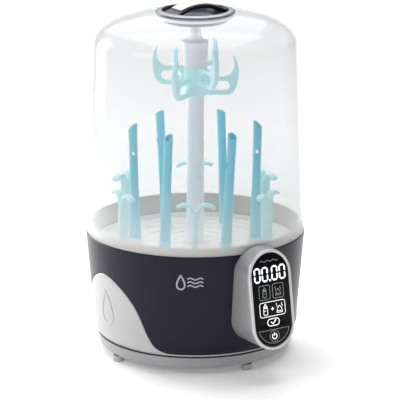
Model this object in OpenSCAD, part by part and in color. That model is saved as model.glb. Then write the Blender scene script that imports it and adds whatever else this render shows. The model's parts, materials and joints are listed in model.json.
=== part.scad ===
// Electric bottle sterilizer and dryer: a clear dome over a rack of hollow rods,
// on a round base that holds the heater, the fan and the control panel.
// Origin: body axis, on the plane of the feet. +Z up, the control panel faces -Y.

/* [Base] */
// Radius of the body where the dome meets the base
seam_r = 128; // [124:1:132]
// Height of that seam above the feet
seam_z = 145; // [143:1:147]
// Inward slope of the base wall, per millimetre of height
base_draft = 0.082; // [0.07:0.002:0.09]
// Wall thickness of the moulded covers
wall = 2.4; // [2:0.1:2.6]
// Height of the white line at the foot of the dark shell
band_z = 24.6; // [24:0.1:26]
// Height of the side wings of the lower casing
wing_top_z = 109; // [104:1:112]
// Length of each foot
foot_h = 7; // [6:0.5:8]
// Distance of each foot from the axis
foot_ring_r = 107; // [104:1:108]
// Diameter of each foot
foot_d = 13; // [12:0.5:15]

/* [Control panel] */
// Lean of the panel's face from upright, in degrees
pod_tilt = 8.55; // [7:0.05:10]
// Distance of the face's centre from the axis
pod_reach = 156.7; // [155:0.1:160]
// Height of the face's centre
pod_mid_z = 96.6; // [95:0.1:98]
// Width of the bezel
bezel_w = 58; // [56:0.5:60]
// Length of the bezel along the face
bezel_len = 115.6; // [114:0.1:117]
// Width of the black window
window_w = 50.6; // [48:0.1:52]
// Length of the black window
window_len = 106.4; // [104:0.1:108]
// Travel of the two push keys
key_travel = 0.7; // [0.4:0.1:0.9]

/* [Dome] */
// Wall thickness of the clear dome
dome_wall = 2.4; // [2:0.1:3]
// Radius of the dome's side where the shoulder starts
dome_top_r = 118.6; // [117:0.2:120]
// Height where the shoulder starts
shoulder_z = 360; // [358:1:362]
// Height of the crown at the handle ring
crown_z = 401.2; // [400:0.2:403]
// Height of the handle's crest
crest_z = 412; // [411:0.5:414]
// Width of the carrying handle
handle_w = 27; // [24:1:30]

/* [Rack] */
// Turn of the rack in its seat, in degrees
rack_turn = -3.5; // [-10:0.5:10]
// Height of the tray's top face
tray_z = 128; // [127:0.5:129]
// Radius of the tray
tray_r = 117.6; // [116:0.2:118]
// Number of bottle rods, and of accessory posts
rod_count = 6; // [6:1:6]
// Distance of the rods from the axis
rod_ring_r = 70; // [68:1:72]
// Height of the rods' tips
rod_tip_z = 271; // [265:1:275]
// Sideways lean of the rods over their height
rod_lean = 6.9; // [0:0.1:7]
// Outward lean of the rods over their height
rod_spread = 2.5; // [0:0.1:4]
// Distance of the accessory posts from the axis
post_ring_r = 96; // [94:1:100]
// Height of the accessory posts
post_top_z = 200; // [190:1:204]
// Outer radius of the central air column
column_r = 10.25; // [9.5:0.25:11]
// Height of the column's wide head
column_top_z = 366; // [360:1:368]
// Height of the upper ring of hooks, at the hook tips
hook_tip_z = 363; // [355:1:366]
// How much lower the second ring of hooks sits
hook_drop = 12.6; // [12:0.2:14]

/* [Hidden] */

$fn = 96;
tiny = 0.01;
gap = 0.3;            // free space between pieces of different bodies
fit = 0.15;           // free space between pieces of one body
cream = [0.93, 0.91, 0.87];
navy = [0.13, 0.13, 0.2];
silver = [0.78, 0.77, 0.78];
white = [0.94, 0.94, 0.95];
mint = [0.66, 0.87, 0.87];
sky = [0.45, 0.72, 0.82];
steel = [0.72, 0.73, 0.75];
dark = [0.08, 0.08, 0.09];
board_green = [0.1, 0.38, 0.22];

// ---- helper functions and modules ----

// Outer radius of the dark shell at height z
function shell_r(z) = seam_r - base_draft * (seam_z - z);

// One point of a cubic curve through four control points
function cubic(p, t) = pow(1 - t, 3) * p[0] + 3 * t * pow(1 - t, 2) * p[1]
    + 3 * t * t * (1 - t) * p[2] + pow(t, 3) * p[3];
function curve(p, n) = [for (i = [0:n]) cubic(p, i / n)];
function but_first(list) = [for (i = [1:len(list) - 1]) list[i]];
function backwards(list) = [for (i = [len(list) - 1:-1:0]) list[i]];

// Unit normal, to the left of the way along a polyline
function way(pts, i) = pts[min(i + 1, len(pts) - 1)] - pts[max(i - 1, 0)];
function left_of(v) = [-v[1], v[0]] / norm(v);
// The polyline moved sideways by d, to the left of its way
function beside(pts, d) = [for (i = [0:len(pts) - 1]) pts[i] + d * left_of(way(pts, i))];
// Outline of a stroke along pts whose half width goes from w0 to w1
function stroke(pts, w0, w1) = let (n = len(pts) - 1) concat(
    [for (i = [0:n]) pts[i] + (w0 + (w1 - w0) * i / n) * left_of(way(pts, i))],
    [for (i = [n:-1:0]) pts[i] - (w0 + (w1 - w0) * i / n) * left_of(way(pts, i))]);

// Stand at angle a around the axis, 0 at the panel, counted towards +X
module around(a) { rotate([0, 0, a - 90]) children(); }
// A flat outline in (radius, height), made thick across its plane
module fin(thick) { rotate([90, 0, 0]) translate([0, 0, -thick / 2]) linear_extrude(thick) children(); }
module tube(r1, r2, z1, z2) {
    translate([0, 0, z1]) difference() {
        cylinder(r = r2, h = z2 - z1);
        translate([0, 0, -1]) cylinder(r = r1, h = z2 - z1 + 2);
    }
}
module disc(r, z1, z2) { translate([0, 0, z1]) cylinder(r = r, h = z2 - z1); }
module slab(x, y, z1, z2) { translate([-x / 2, -y / 2, z1]) cube([x, y, z2 - z1]); }
// A stadium standing on its end in the XY plane
module stadium(w, l) {
    for (s = [-1, 1]) translate([0, s * (l - w) / 2]) circle(d = w);
    square([w, l - w], center = true);
}
// A rectangle with round corners
module round_rect(w, l, r) {
    for (x = [-1, 1], y = [-1, 1]) translate([x * (w / 2 - r), y * (l / 2 - r)]) circle(r);
    square([w - 2 * r, l], center = true);
    square([w, l - 2 * r], center = true);
}

// ---- base ----

foot_arc_r = 20;      // rounding of the dark shell into its underside
shell_low_z = 22;
arc_top_z = shell_low_z + foot_arc_r - 4;
// Dark shell from its lower edge up to the seam, moved outwards by d
function shell_outline(d) = concat(
    [for (a = [-52:13:0]) [shell_r(arc_top_z) - foot_arc_r * (1 - cos(a)) + d * cos(a),
                           arc_top_z + foot_arc_r * sin(a) + d * sin(a)]],
    [[shell_r(seam_z) + d, seam_z]]);
module shell_skin(d_out, d_in) {
    rotate_extrude() polygon(concat(shell_outline(d_out), backwards(shell_outline(d_in))));
}

inlet_z = 44;
inlet_w = 27;
inlet_h = 18;
hatch_z = 73;
hatch_w = 62;
hatch_h = 36;
wire_slot_w = 34;
wire_slot_h = 40;

module back_hole(w, h, z) { translate([-w / 2, 60, z - h / 2]) cube([w, 100, h]); }

module base_shell() color(navy) difference() {
    union() {
        shell_skin(0, -wall);
        tube(seam_r - 4.4, shell_r(seam_z - 6) - 1, seam_z - 6, seam_z - 4);
    }
    back_hole(inlet_w - 3, inlet_h - 3, inlet_z);
    back_hole(hatch_w - 6, hatch_h - 6, hatch_z);
    translate([-wire_slot_w / 2, -150, 70]) cube([wire_slot_w, 60, wire_slot_h]);
}

collar_r = 123.2;
collar_top_z = seam_z + 9;
basin_z = 96;
plate_r = 64;
ledge_r = 114;
collar_wall = 3;
collar_low_r = shell_r(basin_z) - wall - gap;
collar_flare_z = 119.5;  // from here up the wall is straight
module collar_basin() color(cream) union() {
    rotate_extrude() polygon([[collar_low_r, basin_z], [collar_r, collar_flare_z], [collar_r, collar_top_z],
        [collar_r - collar_wall, collar_top_z], [collar_r - collar_wall, collar_flare_z],
        [collar_low_r - collar_wall, basin_z]]);
    tube(plate_r - 6, collar_low_r - 1, basin_z, basin_z + wall);
    tube(ledge_r, collar_r - 2, tray_z - 7.2, tray_z - 4.5);
    for (i = [0:3]) rotate(45 + 90 * i) translate([boss_ring_r, 0, 0])
        tube(screw_r + 0.05, boss_r, foot_h + wall + fit, basin_z + tiny);
}

wing = concat(
    curve([[0, wing_top_z], [18, wing_top_z], [41, wing_top_z - 17], [50, wing_top_z - 38]], 8),
    but_first(curve([[50, wing_top_z - 38], [58, 52.5], [62, band_z + 1.5], [78, band_z]], 8)));
wing_proud = 1.2;
module lower_casing() color(white) difference() {
    intersection() {
        shell_skin(wing_proud, fit);
        rotate([90, 0, 90]) translate([0, 0, -140]) linear_extrude(280) polygon(concat(
            [[-140, 0], [140, 0], [140, band_z]], backwards(wing),
            [for (p = but_first(wing)) [-p[0], p[1]]], [[-140, band_z]]));
    }
    pod_prism(2 * fit);
}

pan_r = 114.6;
pan_top_z = 21;
boss_ring_r = 92;
boss_r = 4.4;
screw_r = 1.8;
module base_pan() color(white) difference() {
    rotate_extrude() polygon(concat(
        [[0, foot_h], [foot_ring_r + 1, foot_h]],
        but_first(curve([[foot_ring_r + 1, foot_h], [113, foot_h + 1], [pan_r, 13], [pan_r, pan_top_z]], 6)),
        [[pan_r - wall, pan_top_z], [pan_r - wall, 14], [foot_ring_r, foot_h + wall], [0, foot_h + wall]]));
    for (i = [0:3]) rotate(45 + 90 * i) translate([boss_ring_r, 0, 0]) disc(screw_r + 0.2, 0, 20);
}

module foot(i) color([0.85, 0.85, 0.86]) around(90 * i) translate([foot_ring_r, 0, 0]) {
    disc(foot_d / 2, 0, foot_h);
}

module screw(head_r, shank_r, len) {
    difference() {
        cylinder(r = head_r, h = 2);
        for (a = [0, 90]) rotate(a) translate([0, 0, 0.4]) cube([head_r * 1.2, 0.8, 1], center = true);
    }
    translate([0, 0, 2 - tiny]) cylinder(r = shank_r, h = len);
}
module base_screws() color(steel) for (i = [0:3])
    rotate(45 + 90 * i) translate([boss_ring_r, 0, foot_h - 2]) screw(3.4, screw_r, 10);

// ---- steam and air ----

module heating_plate() color(steel) union() {
    tube(18, plate_r, basin_z - 2.8, basin_z - 0.8);
    for (i = [0:2]) rotate(30 + 120 * i) translate([52, 0, 0]) disc(2.5, basin_z - 9, basin_z - 2);
}
module plate_seal() color([0.8, 0.35, 0.25]) tube(plate_r - 5.5, plate_r - 1, basin_z - 0.8, basin_z);
module heater_element() color([0.55, 0.54, 0.53]) {
    rotate(100) rotate_extrude(angle = 320) translate([40, basin_z - 6.8]) circle(4);
    for (a = [100, 420]) rotate(a) translate([40, 0, basin_z - 22]) cylinder(r = 3, h = 15);
}
module plate_retainer() color([0.6, 0.6, 0.62]) tube(49, 57, basin_z - 11, basin_z - 9);
module thermostat() color([0.2, 0.2, 0.22]) translate([-27, 0, 0]) {
    disc(7.5, basin_z - 9.8, basin_z - 2.8);
    for (y = [-5, 5]) translate([0, y, basin_z - 17]) cube([1, 3, 15], center = true);
}
module thermal_fuse() color([0.86, 0.84, 0.78]) translate([24, -9, basin_z - 6])
    rotate([-90, 0, 0]) union() { cylinder(r = 3, h = 18); translate([0, 0, -6]) cylinder(r = 0.7, h = 30); }

duct_r = 13.5;
duct_low_z = 62;
module air_duct() color([0.86, 0.86, 0.86]) union() {
    tube(duct_r - 2, duct_r, duct_low_z, tray_z - 8);
    tube(duct_r - tiny, 24, basin_z - 0.8, basin_z + 1.2);
}

fan_low_z = 26;
fan_wall_z = 50;
fan_r = 42;
motor_r = 13;
module fan_housing() color([0.35, 0.36, 0.38]) union() {
    rotate_extrude() polygon([
        [fan_r, fan_low_z], [fan_r, fan_wall_z], [duct_r + 2.3, duct_low_z + 0.4], [duct_r + 2.3, duct_low_z + 9],
        [duct_r + fit, duct_low_z + 9], [duct_r + fit, duct_low_z], [fan_r - 2, fan_wall_z - 0.6],
        [fan_r - 2, fan_low_z]]);
    tube(motor_r + fit, motor_r + 2.5, fan_low_z - 4, fan_low_z + 4);
    for (i = [0:2]) rotate(90 + 120 * i) translate([motor_r + 2, -2.5, fan_low_z]) cube([fan_r - motor_r - 3, 5, 2.5]);
    for (i = [0:2]) rotate(30 + 120 * i) translate([fan_r - 1, -4, fan_low_z - 16.5]) cube([7, 8, 21]);
}
shaft_r = 1.5;
module fan_motor() color([0.62, 0.62, 0.64]) union() {
    disc(motor_r, fan_low_z - 12, fan_low_z + 4);
    disc(shaft_r, fan_low_z + 4 - tiny, fan_low_z + 18);
}
blade_count = 9;
module fan_impeller() color([0.12, 0.12, 0.13]) difference() {
    union() {
        disc(11, fan_low_z + 7, fan_low_z + 17);
        for (i = [0:blade_count - 1]) rotate(i * 360 / blade_count)
            translate([10, 0, fan_low_z + 12]) rotate([38, 0, 0]) translate([0, -7, -0.8]) cube([25, 14, 1.6]);
    }
    disc(shaft_r + 0.05, 0, 100);
}

// ---- electrics ----

board_y = 78;
board_z = 30;
module power_board() color(board_green) translate([0, board_y, board_z]) union() {
    slab(96, 46, 0, 1.6);
    for (x = [-43, 43]) translate([x, 16, foot_h + wall - board_z])
        cylinder(r = 3, h = board_z - foot_h - wall + tiny);
    translate([-28, 1, 0]) slab(26, 24, 1.6, 22);
    translate([6, 6, 1.6]) cylinder(r = 8, h = 24);
    translate([26, 6, 1.6]) cylinder(r = 6, h = 18);
    translate([38, -12, 0]) slab(12, 14, 1.6, 14);
    translate([-4, -15, 0]) slab(30, 8, 1.6, 10);
}
module board_screws() color(steel) for (x = [-43, 43])
    translate([x, board_y + 16, board_z + 3.6]) mirror([0, 0, 1]) cylinder(r = 3, h = 2);

inlet_y = shell_r(inlet_z) + 2.1;  // clear of the wall's slope
module mains_inlet() color(dark) translate([0, inlet_y, inlet_z]) rotate([-90, 0, 0]) union() {
    difference() {
        translate([0, 0, -19]) linear_extrude(17) round_rect(inlet_w - 3.4, inlet_h - 3.4, 4);
        translate([0, 0, -16]) linear_extrude(20) round_rect(inlet_w - 8, inlet_h - 8, 4);
    }
    difference() {
        translate([0, 0, -1.2]) linear_extrude(2.2) round_rect(inlet_w + 2, inlet_h + 2, 3);
        translate([0, 0, -2]) linear_extrude(20) round_rect(inlet_w - 8, inlet_h - 8, 4);
    }
    difference() {
        translate([0, 0, -2 - tiny]) linear_extrude(1) round_rect(inlet_w - 3.4, inlet_h - 3.4, 4);
        translate([0, 0, -4]) linear_extrude(20) round_rect(inlet_w - 8, inlet_h - 8, 4);
    }
    for (x = [-4.3, 4.3]) translate([x, 0, -16 - tiny]) cylinder(r = 1.2, h = 10);
}

// Rear hatch: a curved grille with the filter behind it
hatch_slots = 5;
module filter_cover() color(navy) difference() {
    intersection() {
        shell_skin(2, gap);
        back_hole(hatch_w, hatch_h, hatch_z);
    }
    for (i = [0:hatch_slots - 1]) translate([0, 0, (i - (hatch_slots - 1) / 2) * 5])
        back_hole(hatch_w - 16, 2.4, hatch_z);
}
module air_filter() color([0.25, 0.26, 0.28]) intersection() {
    shell_skin(gap, -5);
    back_hole(hatch_w - 8, hatch_h - 8, hatch_z);
}

// ---- control panel ----

module pod_frame() { translate([0, -pod_reach, pod_mid_z]) rotate([90 - pod_tilt, 0, 0]) children(); }
pod_h = bezel_len * cos(pod_tilt);
// Straight prism of the panel's housing, made bigger by d
module pod_prism(d) {
    translate([0, -80, pod_mid_z]) rotate([90, 0, 0])
        linear_extrude(110) stadium(bezel_w + 2 * d, pod_h + 2 * d);
}
module pod_cut(z) { pod_frame() translate([-80, -120, z]) cube([160, 240, 80]); }
bezel_t = 3.2;
module pod_housing() color(silver) difference() {
    pod_prism(0);
    pod_prism(-wall);
    pod_cut(-bezel_t);
    shell_cutter();
    disc(seam_r + 1, seam_z - 1, seam_z + 40);
}
module shell_cutter() {
    rotate_extrude() polygon(concat([[0, 10], [shell_outline(fit)[0][0], 10]], shell_outline(fit), [[0, seam_z]]));
}
module pod_bezel() color([0.88, 0.88, 0.89]) pod_frame() difference() {
    translate([0, 0, -bezel_t]) linear_extrude(bezel_t) stadium(bezel_w, bezel_len);
    translate([0, 0, -bezel_t - 1]) linear_extrude(bezel_t + 2) stadium(window_w, window_len);
}
window_t = 2;
window_top = -0.5;
ok_y = -25.6;
ok_w = 17;
ok_l = 9.2;
power_y = -33.6;
power_w = 44.5;
key_rim = 0.35;
// Lower end of the window below a straight line, which is the shape of the power key
module power_outline(d) {
    intersection() {
        stadium(power_w + 2 * d, window_len - (window_w - power_w) + 2 * d);
        translate([-40, -80 + d]) square([80, 80 + power_y]);
    }
}
module ok_outline(d) { rotate(90) stadium(ok_l + 2 * d, ok_w + 2 * d); }
module display_window() color(dark) pod_frame() difference() {
    translate([0, 0, window_top - window_t]) linear_extrude(window_t) stadium(window_w - 2 * fit, window_len - 2 * fit);
    translate([0, ok_y, window_top - window_t - 1]) linear_extrude(window_t + 2) ok_outline(key_rim);
    translate([0, 0, window_top - window_t - 1]) linear_extrude(window_t + 2) power_outline(key_rim);
}
board_top = -8.6;
module led_display() color([0.15, 0.15, 0.16]) pod_frame()
    translate([0, 13, 0]) slab(38, 56, board_top, window_top - window_t - fit);
key_len = 4.4;
module ok_button() color(dark) pod_frame() union() {
    translate([0, ok_y, window_top - key_len]) linear_extrude(key_len) ok_outline(0);
}
module power_button() color(dark) pod_frame()
    translate([0, 0, window_top - key_len]) linear_extrude(key_len) power_outline(0);
module control_board() color(board_green) pod_frame() union() {
    translate([0, 0, board_top - 1.6]) linear_extrude(1.6) stadium(46, 98);
    translate([0, ok_y, 0]) slab(6, 6, board_top - tiny, window_top - key_len - key_travel - 0.15);
    translate([0, power_y - 6, 0]) slab(6, 6, board_top - tiny, window_top - key_len - key_travel - 0.15);
    translate([0, -2, 0]) slab(24, 14, board_top - 5, board_top - 1.5);
}

// ---- dome and handle ----

ring_r = 44.5;
cup_r = 39.8;
dome_side = [[seam_r - 0.6, seam_z + gap], [dome_top_r, shoulder_z]];
dome_shoulder = curve([dome_side[1], [dome_top_r - 0.5, shoulder_z + 14], [111, crown_z - 16.2],
                       [84, crown_z - 8.2]], 10);
dome_crown = curve([[84, crown_z - 8.2], [72, crown_z - 4.6], [60, crown_z - 1.8], [cup_r + 1, crown_z + 0.2]], 4);
dome_outline = concat([dome_side[0]], dome_shoulder, but_first(dome_crown));
module dome() color([0.92, 0.94, 0.96, 0.3])
    rotate_extrude($fn = 128) polygon(concat(dome_outline, backwards(beside(dome_outline, dome_wall))));

cup_floor_z = crown_z - 11.2;
module handle_cup() color(navy) rotate_extrude() polygon(concat(
    [[ring_r - 1, crown_z + 0.6], [ring_r - 1, crown_z + 1.6], [cup_r - 1.2, crown_z + 1.6]],
    but_first(curve([[cup_r - 1.2, crown_z + 1.6], [cup_r - 2, cup_floor_z + 5], [36, cup_floor_z], [28, cup_floor_z]], 6)),
    [[0, cup_floor_z], [0, cup_floor_z - 1.8], [28, cup_floor_z - 1.8]],
    but_first(curve([[28, cup_floor_z - 1.8], [38, cup_floor_z - 1.8], [cup_r, cup_floor_z + 3], [cup_r + 0.6, crown_z - 2]], 6)),
    [[cup_r + 0.6, crown_z + 0.6]]));

// Trim ring around the recess, lapped over the cup's flange
module handle_ring() color(silver) rotate_extrude() polygon(concat(
    [[ring_r - 0.85, crown_z + 0.35]],
    curve([[ring_r + 1.4, crown_z + 0.1], [ring_r + 0.8, crown_z + 1.4], [ring_r - 1, crown_z + 2.6],
           [cup_r - 1.2, crown_z + 2.4]], 7),
    [[cup_r - 1.2, crown_z + 1.6 + fit], [ring_r - 0.85, crown_z + 1.6 + fit]]));

arch_half = 37;
arch_t = 4.2;
arch_mid = curve([[-arch_half, crown_z - 1], [-26, crown_z - 0.5], [-20, crest_z - arch_t / 2 - 1.4],
                  [0, crest_z - arch_t / 2 - 1.4]], 8);
arch_line = concat(arch_mid, [for (i = [len(arch_mid) - 2:-1:0]) [-arch_mid[i][0], arch_mid[i][1]]]);
module handle_arch() color(navy) intersection() {
    fin(handle_w) polygon(stroke(arch_line, arch_t / 2, arch_t / 2));
    disc(cup_r - 2.6, crown_z - 10, crest_z + 5);
}
grip_line = [for (p = arch_line) if (abs(p[0]) < 27) p];
module handle_grip() color(cream) fin(handle_w - 5)
    polygon(concat(beside(grip_line, arch_t / 2 + 1.4), backwards(beside(grip_line, arch_t / 2))));
// Clamps the cup from inside the dome
module lock_ring() color(white) tube(cup_r + 0.6 + fit, ring_r - 0.5, crown_z - 6.4, crown_z - 3.4);

// ---- rack ----

tray_t = 4.2;
tray_ribs = 5;
drain_count = 24;
socket_r = 16;
seat_h = 4.5;         // the rods stand this much above the tray's face
module drain_tray() color(white) difference() {
    union() {
        disc(tray_r, tray_z - tray_t, tray_z - 1.2);
        tube(tray_r - 2.5, tray_r, tray_z - 2, tray_z + 3);
        for (i = [0:tray_ribs - 1]) tube(26 + 18 * i, 28 + 18 * i, tray_z - 1.3, tray_z - 0.2);
        tube(duct_r + gap + 0.2, socket_r, tray_z - 16, tray_z - 1.3);
        disc(column_r + 5, tray_z - 1.3, tray_z + 2);
        for (i = [0:rod_count - 1]) around(rack_turn + 60 * i)
            translate([rod_ring_r, 0, 0]) disc(8.6, tray_z - 1.3, tray_z + seat_h);
        for (i = [0:rod_count - 1]) around(rack_turn + 30 + 60 * i)
            translate([post_ring_r, 0, 0]) disc(7.4, tray_z - 1.3, tray_z - 0.2);
    }
    for (i = [0:drain_count - 1]) rotate(7.5 + i * 360 / drain_count) translate([85, 0, 0]) disc(2, 0, 200);
    disc(8.4, tray_z - 20, tray_z + 10);
}

rod_h = rod_tip_z - tray_z - seat_h;
rod_tilt = [-atan(rod_lean / rod_h), atan(rod_spread / rod_h), 0];
rod_wall = 1.3;
rod_side = [[7.2, -2], [6.6, 6], [5.6, 40], [5, 84], [5.4, rod_h + 8]];
rod_slot_w = 2.6;
rod_slot_h = 7;
rod_hole_z = rod_h - 36.5;
rod_tip_slant = 38;
module bottle_rod(i) color(sky) around(rack_turn + 60 * i) translate([rod_ring_r, 0, tray_z + seat_h])
    difference() {
        rotate(rod_tilt) rotate_extrude($fn = 48)
            polygon(concat(rod_side, backwards([for (p = rod_side) p - [rod_wall, 0]])));
        disc(20, -20, 0);
        translate([rod_spread * rod_hole_z / rod_h, 40, rod_hole_z]) rotate([90, 0, 0])
            linear_extrude(80) stadium(rod_slot_w, rod_slot_h);
        translate([rod_spread, rod_lean, rod_h - 3]) rotate([0, rod_tip_slant, 0]) translate([-30, -30, 0]) cube([60, 60, 40]);
    }

// Accessory post: a flat stem that opens into two arms, curving outwards and drooping at their tips
arm_t = 4.4;
stem_w = 6.8;
module teat_post(i) color(mint) around(rack_turn + 30 + 60 * i)
    translate([post_ring_r, 0, 0]) rotate([0, 0, 90]) union() {
        fin(11) polygon([[-stem_w / 2 - 0.8, tray_z - 0.2], [-stem_w / 2, tray_z + 10],
            [-stem_w / 2, post_top_z - 20], [0, post_top_z - 7.5], [stem_w / 2, post_top_z - 20],
            [stem_w / 2, tray_z + 10], [stem_w / 2 + 0.8, tray_z - 0.2]]);
        for (s = [0, 1]) mirror([s, 0, 0]) fin(9) polygon(stroke(
            curve([[1.6, post_top_z - 20], [2.5, post_top_z - 2], [12, post_top_z + 0.5], [21.5, post_top_z - 6.5]], 10),
            arm_t / 2, arm_t / 2 - 0.4));
    }

head_low_z = 316;
head_mid_z = 326;
head_r = 15.6;
module column() color([0.87, 0.88, 0.9]) difference() {
    rotate_extrude() polygon([
        [column_r, tray_z + 2], [column_r, head_low_z], [12.6, head_mid_z], [head_r, column_top_z],
        [head_r - 1.8, column_top_z], [12.6 - 1.8, head_mid_z + 0.4], [8.4, head_low_z + 1], [8.4, tray_z + 2]]);
    for (z = [205, 250, 280], a = [0:60:300]) rotate([0, 0, a + 10]) translate([0, 0, z])
        rotate([0, 90, 0]) cylinder(r = 1, h = 30);
    for (z = [338, 352], a = [0:60:300]) rotate([0, 0, a + 10]) translate([0, 0, z])
        rotate([0, 90, 0]) cylinder(r = 1.2, h = 30);
}
module column_cap() color([0.9, 0.93, 0.96, 0.6]) rotate_extrude() polygon([
    [0, column_top_z + 1.5], [9, column_top_z + 0.6], [head_r - 0.2, column_top_z], [head_r - 0.2, column_top_z + 1.4],
    [11, column_top_z + 2.4], [8.6, column_top_z + 7], [6.4, column_top_z + 16], [3, column_top_z + 20.4],
    [0, column_top_z + 20.8]]);

// Three horns at 120 degrees on a ring; a horn is a flat crescent with a loop at its foot
horn_t = 7;
horn_foot_z = hook_tip_z - 46.8;
horn_top_z = hook_tip_z - 25;
horn_outer = concat(
    [[10, horn_foot_z]],
    curve([[36, horn_foot_z], [46, horn_foot_z], [49.5, horn_foot_z + 11], [50.2, horn_foot_z + 26]], 6),
    but_first(curve([[50.2, horn_foot_z + 26], [50.5, horn_foot_z + 33], [47.8, horn_foot_z + 41],
                     [44, hook_tip_z]], 5)));
horn_inner = concat(
    curve([[43, hook_tip_z], [47, horn_foot_z + 35], [43.5, horn_foot_z + 23], [34, horn_top_z]], 8),
    [[10, horn_top_z]]);
loop_r = 27.9;
loop_w = 22.7;
loop_h = 10.4;
loop_z = (horn_foot_z + horn_top_z) / 2;
ring_wall = 3.4;
ring_split_z = horn_foot_z + 0.6; // the lower tier's ring ends here and the upper tier's starts
module horn() difference() {
    polygon(concat(horn_outer, horn_inner));
    translate([loop_r, loop_z]) round_rect(loop_w, loop_h, 4.2);
}
// One tier: its ring spans z1 to z2, and the other tier's ring has the span that is cut
module hook_tier(turn, drop, z1, z2, cut1, cut2) difference() {
    union() {
        tube(column_r, column_r + ring_wall, z1, z2);
        translate([0, 0, -drop]) for (i = [0:2]) around(turn + 120 * i) fin(horn_t) horn();
    }
    rotate_extrude() polygon([[0, 200], [column_r + fit, 200], [column_r + fit, head_low_z],
        [12.6 + fit, head_mid_z], [head_r + fit, column_top_z], [0, column_top_z]]);
    disc(column_r + ring_wall + fit, cut1, cut2);
}
module upper_hooks() color(mint)
    hook_tier(rack_turn, 0, ring_split_z + fit, horn_top_z, horn_foot_z - 5, ring_split_z);
module lower_hooks() color(mint)
    hook_tier(rack_turn + 60, hook_drop, horn_foot_z - hook_drop, ring_split_z, ring_split_z + tiny, horn_top_z);

base_shell();
collar_basin();
lower_casing();
base_pan();
base_screws();
heating_plate();
plate_seal();
heater_element();
plate_retainer();
thermostat();
thermal_fuse();
air_duct();
fan_housing();
fan_motor();
fan_impeller();
power_board();
board_screws();
mains_inlet();
filter_cover();
air_filter();
pod_housing();
pod_bezel();
display_window();
led_display();
control_board();
ok_button();
power_button();
dome();
handle_cup();
handle_arch();
handle_ring();
handle_grip();
lock_ring();
drain_tray();
column();
column_cap();
upper_hooks();
lower_hooks();
for (i = [1:4]) foot(i);
for (i = [1:rod_count]) bottle_rod(i);
for (i = [1:rod_count]) teat_post(i);
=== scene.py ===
"""Visual model of the bottle sterilizer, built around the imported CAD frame.

Lengths are in millimetres until a mesh is made.
"""
import json
import math

import bmesh
import bpy
from mathutils import Matrix, Vector


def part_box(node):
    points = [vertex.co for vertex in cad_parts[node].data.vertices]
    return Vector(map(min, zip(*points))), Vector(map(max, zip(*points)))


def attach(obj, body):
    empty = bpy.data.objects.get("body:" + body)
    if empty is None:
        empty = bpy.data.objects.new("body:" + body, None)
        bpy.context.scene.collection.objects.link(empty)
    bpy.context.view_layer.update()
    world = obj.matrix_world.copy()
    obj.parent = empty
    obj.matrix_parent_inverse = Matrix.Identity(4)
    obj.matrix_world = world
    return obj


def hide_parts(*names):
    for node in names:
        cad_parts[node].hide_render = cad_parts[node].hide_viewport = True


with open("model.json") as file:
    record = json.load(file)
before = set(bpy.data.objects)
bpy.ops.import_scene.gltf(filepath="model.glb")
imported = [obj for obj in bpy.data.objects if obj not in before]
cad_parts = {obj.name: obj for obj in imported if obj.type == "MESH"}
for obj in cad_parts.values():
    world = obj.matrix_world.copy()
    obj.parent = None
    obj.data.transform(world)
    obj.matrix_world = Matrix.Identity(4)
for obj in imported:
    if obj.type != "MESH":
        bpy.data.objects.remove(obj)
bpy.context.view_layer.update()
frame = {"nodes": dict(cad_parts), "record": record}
MM = 0.001
NODES = frame["nodes"]


def top_of(node):
    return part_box(node)[1].z / MM


def bottom_of(node):
    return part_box(node)[0].z / MM


# ---- driving sizes, from the frame ----

SEAM_Z = top_of("base_shell")
SEAM_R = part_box("base_shell")[1].x / MM
COLLAR_TOP = top_of("collar_basin")
COLLAR_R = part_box("collar_basin")[1].x / MM
RING_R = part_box("handle_ring")[1].x / MM
CREST_Z = top_of("handle_grip")
TRAY_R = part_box("drain_tray")[1].x / MM
TRAY_Z = bottom_of("drain_tray") + 16
SEAT_Z = top_of("drain_tray")
COLUMN_TOP = top_of("column")
HEAD_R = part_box("column")[1].x / MM
HOOK_TIP = top_of("upper_hooks")
HOOK_DROP = HOOK_TIP - top_of("lower_hooks")
CAP_TOP = top_of("column_cap")
FOOT_H = top_of("foot_1")
PAN_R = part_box("base_pan")[1].x / MM
PAN_TOP = top_of("base_pan")

BASE_DRAFT = 0.082      # inward slope of the base wall
FOOT_ARC_R = 20         # rounding of the base wall into its underside
FOOT_ARC_Z = 38
WALL = 2.4
RACK_TURN = -3.5        # turn of the rack in its seat, degrees
ROD_RING_R = 70
ROD_LEAN = 6.9
ROD_SPREAD = 2.5
ROD_TIP_Z = 271
ROD_HOLE_DROP = 36.5    # from a rod's tip down to the middle of its slot
ROD_SLOT = (2.6, 7)
POST_RING_R = 96
POST_TIP_Z = 200.7
POD_TILT = 8.55
POD_REACH = 156.7
POD_MID_Z = 96.6
BEZEL_W = 58
BEZEL_LEN = 115.6
WINDOW_W = 50.6
WINDOW_LEN = 106.4
WINDOW_TOP = -0.5       # the black window's face, in the panel's own frame
CUP_R = 39.8
CROWN_Z = 401.2


# ---- outlines ----

def cubic(p, n):
    """Points along a cubic curve through four control points."""
    pts = []
    for i in range(n + 1):
        t = i / n
        k = ((1 - t) ** 3, 3 * t * (1 - t) ** 2, 3 * t * t * (1 - t), t ** 3)
        pts.append(tuple(sum(k[j] * p[j][c] for j in range(4)) for c in (0, 1)))
    return pts


def arc(cx, cy, r, a0, a1, n=12):
    """Points of an arc, angles in degrees."""
    angles = [math.radians(a0 + (a1 - a0) * i / n) for i in range(n + 1)]
    return [(cx + r * math.cos(a), cy + r * math.sin(a)) for a in angles]


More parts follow.
